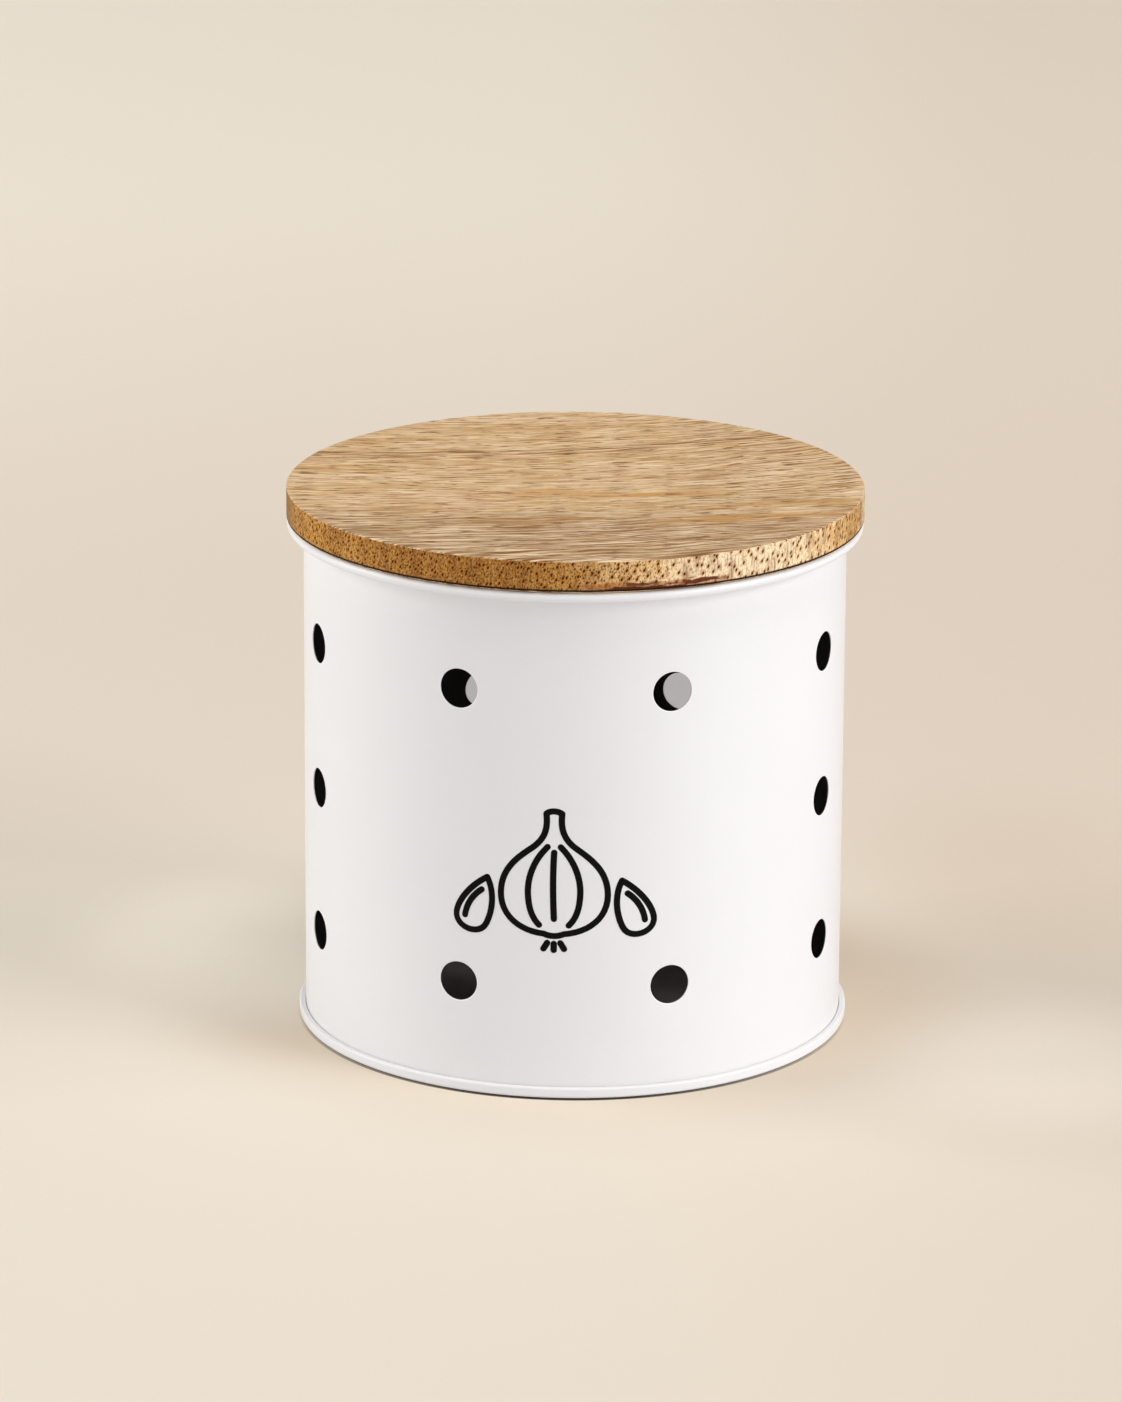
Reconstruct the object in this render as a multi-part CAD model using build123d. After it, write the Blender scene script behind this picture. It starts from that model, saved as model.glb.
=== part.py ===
from build123d import *
import math
import os

# Garlic keeper: a rolled sheet-steel can with round vents, a rolled rim and a double-seamed base,
# closed by a wooden lid that drops into its mouth. Millimetres, +Z up, the front is at -Y, and the
# origin is on the floor at the middle of the foot. Sections are drawn as (radius, height).

# Can
can_diameter = 134.0  # outside of the wall
can_height = 128.0  # floor to the top of the rim
wall_sheet = 0.5
base_sheet = 0.5

# Rolled rim: the wall turns outward, flat, and back under itself
rim_reach = 4.1  # outside of the wall to the outside of the roll
rim_roll_height = 2.5
rim_neck_bend = 0.6  # inside radius of the turn from the wall to the rim
rim_end_gap = 0.4  # wall to the end of the roll
full_round = 0.499  # share of a side that each of its two bends may take

# Vents, in rows round the wall; the middle row has none in the two front columns
vent_diameter = 9.8
vent_columns = 8
vent_rows = 3
vent_pitch = 37.0  # row to row
lowest_vent = 27.5  # centre of the lowest row above the floor

# Welded lap at the back of the wall, which ends short of the mouth and of the foot
lap_width = 6.0
lap_sheet = 0.4
lap_end_gap = 1.5

# Double seam at the foot: the wall and the base are hooked round each other
seam_height = 2.6
seam_gap = 0.05  # sealing compound and paint between two layers
wall_fold = 0.3  # flat across the centre line's corner where the wall is folded
base_fold = 0.45  # the same where the base is folded
hook_end_gap = 0.1  # end of a hook to the fold in front of it

# Pressed base
base_recess = 3.2  # floor to the underside of the panel
panel_step_diameter = 108.0
panel_step_drop = 0.8
panel_step_run = 1.6

# Lid board
board_overhang = 0.1  # outside of the rim to the side of the board
board_thickness = 7.75
board_edge = 0.5
lid_seat_gap = 0.25  # rim to the underside of the board

# Plug below the board, and the groove for its ring
plug_thickness = 8.0
plug_side_gap = 2.5  # wall to the side of the plug
plug_edge = 0.8
groove_depth = 1.8
groove_height = 4.4
groove_top_lip = 1.6  # underside of the board to the top of the groove

# Ring in the groove, with fins round it
seal_wall_gap = 0.3  # tips of the fins to the wall
seal_groove_gap = 0.15
seal_band = 1.4
seal_fins = 3
fin_root = 0.9
fin_tip = 0.5
fin_rise = 0.3  # how far a fin leans up

# Radii and heights that follow from the sizes above
can_radius = can_diameter / 2
mouth_radius = can_radius - wall_sheet
wall_middle = can_radius - wall_sheet / 2
board_radius = can_radius + rim_reach + board_overhang
board_underside = can_height + lid_seat_gap
plug_radius = mouth_radius - plug_side_gap
plug_underside = board_underside - plug_thickness


def turned(section):
    """The section, drawn as (radius, height), turned about the Z axis."""
    return revolve(Plane.XZ * section, Axis.Z)


def turned_outline(points):
    """A solid of revolution with straight edges."""
    return turned(make_face(Polyline(*points, close=True)))


def turned_sheet(points, bends, sheet):
    """A sheet of even thickness turned about Z, from its centre line and the bends at its corners."""
    return turned(trace(FilletPolyline(*points, radius=bends), sheet))


def folded(points, fold):
    """The line through the points, with a short flat across each of its corners."""
    line = [Vector(*points[0])]
    for before, corner, after in zip(points, points[1:], points[2:]):
        for end in (before, after):
            line.append(Vector(*corner) + (Vector(*end) - Vector(*corner)).normalized() * fold)
    return line + [Vector(*points[-1])]


def wall_shell():
    """The wall, from its hook inside the seam up to the end of the rolled rim."""
    hook_radius = can_radius + 2 * seam_gap + base_sheet + wall_sheet / 2
    hook_bottom = base_sheet + seam_gap + wall_sheet / 2
    hook_end = seam_height - base_sheet / 2 - base_fold - hook_end_gap
    rim_top = can_height - wall_sheet / 2
    rim_bottom = can_height - rim_roll_height + wall_sheet / 2
    rim_outside = can_radius + rim_reach - wall_sheet / 2
    corners = [
        (hook_radius, hook_end),
        (hook_radius, hook_bottom),
        (wall_middle, hook_bottom),
        (wall_middle, rim_top),
    ]
    points = folded(corners, wall_fold) + [
        (rim_outside, rim_top),
        (rim_outside, rim_bottom),
        (can_radius + rim_end_gap, rim_bottom),
    ]
    neck = rim_neck_bend + wall_sheet / 2
    roll = full_round * (rim_top - rim_bottom)
    return turned_sheet(points, [0, 0, 0, 0, neck, roll, roll], wall_sheet)


def vents():
    """Cutters for the vents, one for each hole."""
    column_angle = 360 / vent_columns
    front_columns = (0, vent_columns - 1)
    middle_row = vent_rows // 2
    cutters = []
    for column in range(vent_columns):
        turn = -90 + column_angle * (column + 0.5)
        for row in range(vent_rows):
            if row == middle_row and column in front_columns:
                continue
            height = lowest_vent + vent_pitch * row
            place = Rot(0, 0, turn) * Pos(mouth_radius, 0, height) * Rot(0, 90, 0)
            cutters.append(place * Cylinder(vent_diameter / 2, vent_diameter))
    return cutters


def side_lap():
    """The inner edge of the wall sheet, lapped and welded to the wall at the back."""
    bottom = base_recess + base_sheet + lap_end_gap
    top = plug_underside - lap_end_gap
    inside = mouth_radius - lap_sheet
    outside = wall_middle
    arc = math.degrees(lap_width / mouth_radius)
    corners = [(inside, bottom), (outside, bottom), (outside, top), (inside, top)]
    section = make_face(Polyline(*corners, close=True))
    strip = revolve(Plane.XZ * section, Axis.Z, arc)
    return Rot(0, 0, 90 - arc / 2) * strip


def body_wall():
    return wall_shell() - vents() + side_lap()


def base_pan():
    """The pressed base, from the middle of its panel out to the hook inside the seam."""
    panel = base_recess + base_sheet / 2
    step = panel_step_diameter / 2
    inner_rim = mouth_radius - seam_gap - base_sheet / 2
    outer_rim = can_radius + 3 * seam_gap + base_sheet * 1.5 + wall_sheet
    hook_radius = can_radius + seam_gap + base_sheet / 2
    seam_top = seam_height - base_sheet / 2
    hook_end = base_sheet + seam_gap + wall_sheet / 2 + wall_fold + hook_end_gap
    corners = [
        (step, panel),
        (inner_rim, panel),
        (inner_rim, base_sheet / 2),
        (outer_rim, base_sheet / 2),
        (outer_rim, seam_top),
        (hook_radius, seam_top),
        (hook_radius, hook_end),
    ]
    middle = [
        (0, panel - panel_step_drop),
        (step - panel_step_run, panel - panel_step_drop),
    ]
    points = middle + folded(corners, base_fold)
    return turned_sheet(points, 0, base_sheet)


def lid_board():
    middle = board_underside + board_thickness / 2
    board = Pos(0, 0, middle) * Cylinder(board_radius, board_thickness)
    return chamfer(board.edges().filter_by(GeomType.CIRCLE), board_edge)


def lid_plug():
    groove_top = board_underside - groove_top_lip
    groove_bottom = groove_top - groove_height
    groove_radius = plug_radius - groove_depth
    return turned_outline([
        (0, board_underside),
        (plug_radius, board_underside),
        (plug_radius, groove_top),
        (groove_radius, groove_top),
        (groove_radius, groove_bottom),
        (plug_radius, groove_bottom),
        (plug_radius, plug_underside + plug_edge),
        (plug_radius - plug_edge, plug_underside),
        (0, plug_underside),
    ])


def lid_seal():
    """The ring sits on the lower side of its groove, and its fins lean up as they reach out."""
    bottom = board_underside - groove_top_lip - groove_height
    top = board_underside - groove_top_lip - seal_groove_gap
    inside = plug_radius - groove_depth + seal_groove_gap
    root = inside + seal_band
    tip = mouth_radius - seal_wall_gap
    fin_pitch = (top - bottom) / seal_fins
    outline = [(inside, bottom), (root, bottom)]
    for fin in range(seal_fins):
        height = bottom + fin_pitch * (fin + 0.5)
        outline += [
            (root, height - fin_root / 2),
            (tip, height - fin_tip / 2 + fin_rise),
            (tip, height + fin_tip / 2 + fin_rise),
            (root, height + fin_root / 2),
        ]
    outline += [(root, top), (inside, top)]
    return turned_outline(outline)


nodes = {
    "body_wall": body_wall(),
    "base_pan": base_pan(),
    "lid_board": lid_board(),
    "lid_plug": lid_plug(),
    "lid_seal": lid_seal(),
}
os.makedirs("parts", exist_ok=True)
for name, solid in nodes.items():
    export_step(solid, f"parts/{name}.step")
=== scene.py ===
import math

import bpy
from mathutils import Matrix, Vector


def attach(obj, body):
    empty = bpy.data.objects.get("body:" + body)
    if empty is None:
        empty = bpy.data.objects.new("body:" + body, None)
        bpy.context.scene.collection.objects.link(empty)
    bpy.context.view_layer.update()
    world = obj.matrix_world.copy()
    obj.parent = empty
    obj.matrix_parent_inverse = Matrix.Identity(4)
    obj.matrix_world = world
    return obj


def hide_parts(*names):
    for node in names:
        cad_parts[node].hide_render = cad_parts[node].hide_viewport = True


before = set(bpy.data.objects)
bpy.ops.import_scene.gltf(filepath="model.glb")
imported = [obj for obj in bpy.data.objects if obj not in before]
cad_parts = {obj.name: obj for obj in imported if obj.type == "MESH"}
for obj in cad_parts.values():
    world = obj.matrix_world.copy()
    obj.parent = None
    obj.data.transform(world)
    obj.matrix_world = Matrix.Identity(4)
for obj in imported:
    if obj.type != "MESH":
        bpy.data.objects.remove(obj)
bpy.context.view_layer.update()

# Garlic keeper, dressed. Sizes are in millimetres here and go to metres in add_mesh().
# The front is at -Y. Azimuths are counted in degrees from the front towards +X.
MM = 0.001
TINY = 1e-6
TURN_PARTS = 256  # sides of a turned piece
CAP_STEPS = 6  # round the end of a sheet

# Can, as packed
WALL_OUTSIDE = 67.0
SHEET = 0.5
WALL_INSIDE = WALL_OUTSIDE - SHEET
CAN_HEIGHT = 128.0
RIM_REACH = 4.1
RIM_HEIGHT = 2.5
RIM_NECK_BEND = 0.6
RIM_END_GAP = 0.4
FULL_ROUND = 0.499  # share of a side that each of its two bends takes
SEAM_HEIGHT = 2.6
SEAM_GAP = 0.05
SEAM_BEND = 0.3  # radius of the wall's folds in the seam, at the middle of the sheet
WALL_HOOK_END = 1.5  # height of the wall's end in the seam
BASE_HOOK_END = 1.7
BASE_RECESS = 3.2
PANEL_STEP = (54.0, 1.6, 0.8)  # radius, run and drop
BASE_BENDS = (0, 1.2, 1.2, 0.6, 0.45, 0.45, 0.3, 0.28, 0)  # at its corners, from the middle out
FOOT_RADIUS = WALL_OUTSIDE + 3 * SEAM_GAP + SHEET * 3
LINING_BOTTOM = 2.0

# Welded lap at the back of the wall
LAP_WIDTH = 6.0
LAP_SHEET = 0.4
LAP_BOTTOM, LAP_TOP = 5.2, 118.75
LAP_SUNK = 0.1  # how far it goes into the wall
LAP_EDGE = 0.12

# Vents
VENT_RADIUS = 4.9
VENT_COLUMNS = 8
VENT_HEIGHTS = (27.5, 64.5, 101.5)
VENT_EDGE = 0.2  # rounding of the painted edge
NO_VENT = ((0, 1), (VENT_COLUMNS - 1, 1))  # (column, row): none beside the mark
VENT_CELL = 10.0  # half a side of the square of wall that is meshed round a vent
CELL_PARTS, GAP_PARTS = 16, 12  # faces across a square, and between two squares
SIDE_RINGS, EDGE_STEPS = 4, 5  # rings of faces from a square to its vent, and round the edge
VENT_PITCH = 2 * math.pi / VENT_COLUMNS  # column to column, in radians
CELL_ANGLE = VENT_CELL / WALL_OUTSIDE
VENT_REACH = VENT_RADIUS + VENT_EDGE  # middle of a vent to where the wall starts to turn in

# Lid, as packed
BOARD_RADIUS = 71.2
BOARD_BOTTOM = 128.25
BOARD_TOP = 136.0
BOARD_BENDS = (0, 0.5, 0.45, 0)
BOARD_PARTS = 320
PLUG_RADIUS = 64.0
PLUG_BOTTOM = 120.25
PLUG_BENDS = (0, 0.8, 0.15, 0.15, 0.15, 0.15, 0.1, 0)
GROOVE = (62.2, 122.25, 126.65)  # radius, bottom and top
SEAL_INSIDE = 62.35
SEAL_ROOT = 63.75
SEAL_TIP = 66.2
SEAL_TOP = 126.5
SEAL_FINS = 3
FIN_ROOT, FIN_TIP = 0.9, 0.5
FIN_RISE = 0.3  # how far a fin leans up
SEAL_BENDS = ((0.15, 0.05), (0.12, 0.2, 0.2, 0.12), (0.1, 0.15))  # bottom, each fin, top

# Wood
WOOD_SHEEN = 0.15
GROWTH_START = 66.0  # the growth line starts this far left of the middle
GROWTH_BEND = 0.0017
GROWTH_LINE = 29.6  # its place across the grain
FACE_BANDS = (  # share of the noise, colour
    (0.34, (210, 164, 112)), (0.48, (222, 185, 136)), (0.64, (232, 199, 158)),
)
FRONT_STREAKS = (  # x, place across the grain, half length, half width, colour
    (44.0, -42.0, 30.0, 5.0, (200, 146, 76)),
    (60.0, -28.0, 30.0, 3.5, (202, 152, 86)),
    (-10.0, -37.0, 22.0, 3.5, (180, 130, 74)),
    (-4.0, -10.0, 16.0, 6.0, (214, 164, 104)),
    (22.0, -14.0, 26.0, 2.5, (206, 152, 86)),
)
EDGE_STREAKS = (  # height above the lower edge, half thickness, ends in degrees, share, colour
    (1.1, 1.1, 4.0, 33.0, 0.55, (170, 98, 44)),
    (0.5, 0.75, 5.0, 26.0, 0.96, (84, 30, 6)),
    (2.0, 0.35, 8.0, 20.0, 0.9, (96, 40, 10)),
    (1.5, 0.5, 22.0, 32.0, 0.95, (92, 36, 8)),
)
EDGE_TONES = (  # share of the front half from left to right, colour
    (0.06, (140, 104, 50)), (0.14, (207, 150, 62)), (0.24, (198, 141, 58)),
    (0.32, (186, 130, 54)), (0.43, (177, 121, 49)), (0.50, (196, 142, 68)),
    (0.58, (242, 200, 140)), (0.66, (253, 227, 188)), (0.78, (251, 225, 182)),
    (0.85, (238, 195, 132)), (0.92, (194, 147, 76)), (0.97, (224, 198, 158)),
)


# ---------------------------------------------------------------- outlines
# An outline is a list of (radius, height, normal radius, normal height), the solid on its left.

def rounded_path(points, bends, steps=6, closed=False):
    """Samples (x, y, direction x, direction y) of a polyline with each corner turned at its
    radius."""
    corners = [Vector(p) for p in points]
    count = len(corners)
    path = []
    for i, corner in enumerate(corners):
        if not closed and i in (0, count - 1):
            other = corners[1] if i == 0 else corners[-2]
            along = (other - corner if i == 0 else corner - other).normalized()
            path.append((*corner, *along))
            continue
        bend = bends[i] if isinstance(bends, (list, tuple)) else bends
        before = (corner - corners[i - 1]).normalized()
        after = (corners[(i + 1) % count] - corner).normalized()
        turn = math.atan2(before.x * after.y - before.y * after.x, before.dot(after))
        start = corner - before * bend * math.tan(abs(turn) / 2)
        side = math.copysign(1, turn)
        centre = start + Vector((-before.y, before.x)) * bend * side
        for step in range(steps + 1):
            angle = turn * step / steps
            along = Vector((before.x * math.cos(angle) - before.y * math.sin(angle),
                            before.x * math.sin(angle) + before.y * math.cos(angle)))
            place = centre + Vector((along.y, -along.x)) * bend * side
            path.append((*place, *along))
    return path


def outline_of(points, bends, steps=6, closed=False):
    return [(x, y, along_y, -along_x)
            for x, y, along_x, along_y in rounded_path(points, bends, steps, closed)]


def sheet_sides(path, sheet):
    """The right side of a sheet along its centre line, and the left side on the way back."""
    half = sheet / 2
    right = [(x + dy * half, y - dx * half, dy, -dx) for x, y, dx, dy in path]
    left = [(x - dy * half, y + dx * half, -dy, dx) for x, y, dx, dy in reversed(path)]
    return right, left


def sheet_outline(points, bends, sheet, steps=6):
    """A sheet of even thickness round a centre line, with rounded ends."""
    path = rounded_path(points, bends, steps)
    right, left = sheet_sides(path, sheet)

    def end_cap(x, y, dx, dy):
        cap = []
        for step in range(1, CAP_STEPS):
            angle = math.pi * step / CAP_STEPS
            nx = dy * math.cos(angle) + dx * math.sin(angle)
            ny = -dx * math.cos(angle) + dy * math.sin(angle)
            cap.append((x + nx * sheet / 2, y + ny * sheet / 2, nx, ny))
        return cap

    x, y, dx, dy = path[0]
    return right + end_cap(*path[-1]) + left + end_cap(x, y, -dx, -dy)


# ---------------------------------------------------------------- meshes

def around(radius, angle, height):
    return (radius * math.cos(angle), radius * math.sin(angle), height)


def between(a, b):
    """The middle of two outline points, with the mean of their normals."""
    return [(p + q) / 2 for p, q in zip(a, b)]


def add_mesh(name, vertices, normals, faces, face_materials, materials):
    """A smooth object from millimetre vertices with their own normals."""
    mesh = bpy.data.meshes.new(name)
    mesh.from_pydata([Vector(v) * MM for v in vertices], [], faces)
    for material in materials:
        mesh.materials.append(material)
    for polygon, index in zip(mesh.polygons, face_materials):
        polygon.material_index = index
        polygon.use_smooth = True
    mesh.update()
    if normals:
        mesh.normals_split_custom_set_from_vertices([Vector(n).normalized() for n in normals])
    thing = bpy.data.objects.new(name, mesh)
    bpy.context.scene.collection.objects.link(thing)
    return thing


def turned_mesh(name, outline, segments, materials, closed=False, material_of=lambda *_: 0):
    """The outline turned about Z. material_of picks a material from a face's middle and normal."""
    vertices, normals, faces, picked, rings = [], [], [], [], []
    for radius, height, normal_r, normal_z in outline:
        if radius < TINY:
            rings.append([len(vertices)] * segments)
            vertices.append((0, 0, height))
            normals.append((0, 0, math.copysign(1, normal_z)))
            continue
        rings.append(list(range(len(vertices), len(vertices) + segments)))
        for k in range(segments):
            angle = 2 * math.pi * k / segments
            vertices.append(around(radius, angle, height))
            normals.append(around(normal_r, angle, normal_z))
    spans = len(outline) if closed else len(outline) - 1
    for i in range(spans):
        following = (i + 1) % len(rings)
        low, high = rings[i], rings[following]
        index = material_of(*between(outline[i], outline[following]))
        for k in range(segments):
            beside = (k + 1) % segments
            ring = [low[k], low[beside], high[beside], high[k]]
            faces.append([v for j, v in enumerate(ring) if v not in ring[:j]])
            picked.append(index)
    return add_mesh(name, vertices, normals, faces, picked, materials)


# ---------------------------------------------------------------- shader nodes

def colour(red, green, blue):
    """A colour as it shows on a screen, 0 to 255, turned linear."""
    def linear(value):
        value /= 255
        return value / 12.92 if value <= 0.04045 else ((value + 0.055) / 1.055) ** 2.4
    return (linear(red), linear(green), linear(blue), 1.0)


class Shader:
    """A material's node tree, with one short call for each kind of node."""

    def __init__(self, name):
        self.material = bpy.data.materials.new(name)
        self.material.use_nodes = True
        self.tree = self.material.node_tree
        self.tree.nodes.clear()

    def fill(self, socket, value):
        """Links the socket to another node's output, or sets its value."""
        if isinstance(value, bpy.types.NodeSocket):
            self.tree.links.new(value, socket)
        else:
            socket.default_value = value

    def node(self, kind, settings=(), **inputs):
        """A node with its settings. Inputs go by name, or by number as i0, i1 and so on."""
        made = self.tree.nodes.new("ShaderNode" + kind)
        for key, value in dict(settings).items():
            setattr(made, key, value)
        for key, value in inputs.items():
            numbered = key[0] == "i" and key[1:].isdigit()
            self.fill(made.inputs[int(key[1:]) if numbered else key.replace("_", " ")], value)
        return made

    def math(self, operation, a, b=0.0, c=0.0, clamp=False):
        settings = {"operation": operation, "use_clamp": clamp}
        return self.node("Math", settings, i0=a, i1=b, i2=c).outputs[0]

    def plus(self, a, b):
        return self.math("ADD", a, b)

    def minus(self, a, b):
        return self.math("SUBTRACT", a, b)

    def times(self, a, b):
        return self.math("MULTIPLY", a, b)

    def times_plus(self, a, b, c):
        return self.math("MULTIPLY_ADD", a, b, c)

    def unsigned(self, a):
        return self.math("ABSOLUTE", a)

    def place(self):
        """Object coordinates in millimetres."""
        metres = self.node("TexCoord").outputs["Object"]
        return self.node("VectorMath", {"operation": "SCALE"}, i0=metres, Scale=1 / MM).outputs[0]

    def stretch(self, vector, x, y, z):
        """The vector with its parts divided by these lengths in millimetres."""
        return self.node("VectorMath", {"operation": "DIVIDE"}, i0=vector, i1=(x, y, z)).outputs[0]

    def length(self, vector):
        return self.node("VectorMath", {"operation": "LENGTH"}, i0=vector).outputs["Value"]

    def parts(self, vector):
        return self.node("SeparateXYZ", Vector=vector).outputs

    def join(self, x, y, z=0.0):
        return self.node("CombineXYZ", X=x, Y=y, Z=z).outputs[0]

    def noise(self, vector, detail=2.0, roughness=0.5):
        made = self.node("TexNoise", Vector=vector, Scale=1.0, Detail=detail, Roughness=roughness)
        return made.outputs["Fac"]

    def remap(self, value, low, high, to_low=0.0, to_high=1.0, smooth=True):
        """The value taken from one range to another, and held at its ends."""
        settings = {"interpolation_type": "SMOOTHSTEP" if smooth else "LINEAR"}
        return self.node("MapRange", settings, Value=value, From_Min=low, From_Max=high,
                         To_Min=to_low, To_Max=to_high).outputs[0]

    def mix(self, factor, a, b, blend="MIX"):
        made = self.node("Mix", {"data_type": "RGBA", "blend_type": blend})
        for index, value in ((0, factor), (6, a), (7, b)):
            self.fill(made.inputs[index], value)
        return made.outputs[2]

    def over(self, tone, share, shade, blend="MIX"):
        """The tone with a share of a screen colour over it."""
        return self.mix(share, tone, colour(*shade), blend)

    def layer(self, tone, value, start, full, share, shade, where=None):
        """The tone with a screen colour over it, from none where the value is at its start up to
        the share where it is full. The colour can be held to one place."""
        amount = self.remap(value, start, full, 0.0, share)
        return self.over(tone, amount if where is None else self.times(where, amount), shade)

    def ramp(self, factor, stops):
        """Screen colours at their positions along the factor."""
        made = self.node("ValToRGB", Fac=factor)
        elements = made.color_ramp.elements
        while len(elements) < len(stops):
            elements.new(0.5)
        for element, (position, shade) in zip(elements, stops):
            element.position, element.color = position, colour(*shade)
        return made.outputs[0]

    def bump(self, height, distance):
        """A normal for a height, where the distance in millimetres is a height of 1."""
        return self.node("Bump", Height=height, Distance=distance * MM, Strength=1.0).outputs[0]

    def finish(self, **sockets):
        shader = self.node("BsdfPrincipled", **sockets)
        output = self.node("OutputMaterial")
        self.tree.links.new(shader.outputs[0], output.inputs["Surface"])
        return self.material


# ---------------------------------------------------------------- materials

def white_paint():
    s = Shader("satin_white_powder_coat")
    place = s.place()
    peel = s.noise(s.stretch(place, 1.3, 1.3, 1.3))
    grit = s.noise(s.stretch(place, 0.25, 0.25, 0.25), detail=1.0)
    cloud = s.noise(s.stretch(place, 30, 30, 30))
    tint = s.mix(cloud, colour(237, 235, 234), colour(240, 238, 237))
    height = s.times_plus(grit, 0.25, peel)
    return s.finish(Base_Color=tint, Roughness=s.remap(peel, 0.2, 0.8, 0.36, 0.44),
                    Normal=s.bump(height, 0.012), Coat_Weight=0.25, Coat_Roughness=0.2)


def lining_paint(name, dark, light):
    s = Shader(name)
    peel = s.noise(s.stretch(s.place(), 1.0, 1.0, 1.0), detail=3.0)
    tint = s.mix(peel, colour(*dark), colour(*light))
    return s.finish(Base_Color=tint, Roughness=s.remap(peel, 0.2, 0.8, 0.5, 0.62),
                    Normal=s.bump(peel, 0.02))


def across_grain(s, place):
    """How far a place lies across the grain, which runs from left to right, fans out towards the
    back right, and wanders a little."""
    x, y, _ = s.parts(place)
    fan = s.remap(s.unsigned(s.plus(y, 5.0)), 0.0, 60.0, 0.55, 1.1, smooth=False)
    reach = s.plus(x, GROWTH_START)
    rise = s.times(s.times(reach, reach), s.times(fan, GROWTH_BEND))
    wander = s.noise(s.stretch(place, 34, 20, 40))
    ripple = s.noise(s.stretch(place, 7, 4, 40), detail=1.0)
    return s.times_plus(ripple, 0.4, s.times_plus(wander, 5.0, s.minus(y, rise)))


def front_streaks(s, tone, x, across, streak):
    """The tone with broad oval streaks over it, broken up by the fine ones."""
    for centre_x, centre_y, length, width, shade in FRONT_STREAKS:
        u = s.math("DIVIDE", s.minus(x, centre_x), length)
        v = s.math("DIVIDE", s.minus(across, centre_y), width)
        spot = s.remap(s.plus(s.times(u, u), s.times(v, v)), 1.0, 0.1)
        tone = s.over(tone, s.times(spot, s.remap(streak, 0.64, 0.42, 0.25, 0.9)), shade)
    return tone


def board_face():
    """Soft bands, short dark pores between lighter fibres, one dark growth line with brown wood
    in front of it, a duller front, and a few broad streaks there. Dark and light lines are
    strongest where the wood is dull or brown, and at the right."""
    s = Shader("board_face_grain")
    place = s.place()
    x, y, _ = s.parts(place)
    across = across_grain(s, place)

    def grain(length, width, offset=0.0, detail=2.0, roughness=0.55):
        """Noise drawn out along the grain. An offset keeps it apart from the others."""
        along = s.join(x, s.plus(across, offset))
        return s.noise(s.stretch(along, length, width, 1), detail, roughness)

    band = grain(60, 9)
    streak = grain(14, 2.2, detail=3.0)
    fibre = grain(12.0, 0.8, 61.0)
    pore = grain(7.0, 0.85, 137.0, roughness=0.6)
    fine = grain(7.0, 0.5, 211.0, detail=1.0)
    line = grain(20.0, 0.7, 311.0, roughness=0.6)
    patch = s.noise(s.stretch(place, 26, 12, 10))
    tone = s.ramp(band, FACE_BANDS)
    tone = s.layer(tone, patch, 0.50, 0.68, 0.6, (232, 194, 158))
    tone = s.layer(tone, streak, 0.50, 0.34, 0.60, (198, 146, 82))
    tone = s.layer(tone, fibre, 0.50, 0.66, 0.85, (250, 222, 178))
    tone = s.layer(tone, fibre, 0.48, 0.32, 0.65, (184, 138, 86))
    tone = s.layer(tone, fine, 0.45, 0.30, 0.45, (150, 104, 58))

    from_line = s.minus(across, GROWTH_LINE)
    brown = s.times(s.remap(from_line, -11.0, -1.0), s.remap(from_line, 0.3, -0.3))
    brown_share = s.times(brown, s.remap(fibre, 0.62, 0.40, 0.10, 0.75))
    tone = s.over(tone, brown_share, (196, 138, 72))
    growth = s.remap(s.unsigned(from_line), 1.3, 0.2)
    growth_share = s.times(growth, s.remap(streak, 0.64, 0.40, 0.38, 0.92))
    tone = s.over(tone, growth_share, (142, 98, 44))

    dull = s.remap(s.times_plus(patch, 10.0, y), -14.0, -36.0)
    tone = s.over(tone, dull, (226, 221, 217), "MULTIPLY")
    right = s.remap(x, 10.0, 45.0, 0.0, 0.7)
    busy = s.math("MAXIMUM", dull, s.math("MAXIMUM", brown, right))
    tone = s.layer(tone, line, 0.48, 0.40, 0.95, (142, 98, 52), busy)
    tone = s.layer(tone, line, 0.52, 0.60, 0.85, (252, 224, 186), busy)
    tone = front_streaks(s, tone, x, across, streak)

    pores = s.remap(pore, 0.42, 0.36)
    tone = s.over(tone, s.times(pores, 0.9), (128, 82, 34))
    height = s.minus(s.times(fine, 0.8), s.times(pores, 0.5))
    return s.finish(Base_Color=tone, Roughness=s.remap(streak, 0.3, 0.7, 0.66, 0.54),
                    Specular_IOR_Level=WOOD_SHEEN, Normal=s.bump(height, 0.15))


def lower_streaks(s, tone, flat, z, degrees):
    """The tone with ragged streaks over it along the board's lower edge."""
    fibres = s.noise(s.stretch(flat, 5, 0.8, 1), detail=3.0, roughness=0.6)
    height = s.times_plus(fibres, 3.0, s.minus(z, BOARD_BOTTOM + 1.5))
    fade = 3.0  # degrees
    for middle, half_width, left, right, share, shade in EDGE_STREAKS:
        off = s.unsigned(s.minus(height, middle))
        ends = s.times(s.remap(degrees, left, left + fade), s.remap(degrees, right, right - fade))
        streak = s.times(s.remap(off, half_width + 0.25, half_width - 0.1), ends)
        tone = s.over(tone, s.times(streak, share), shade)
    return tone


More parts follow.
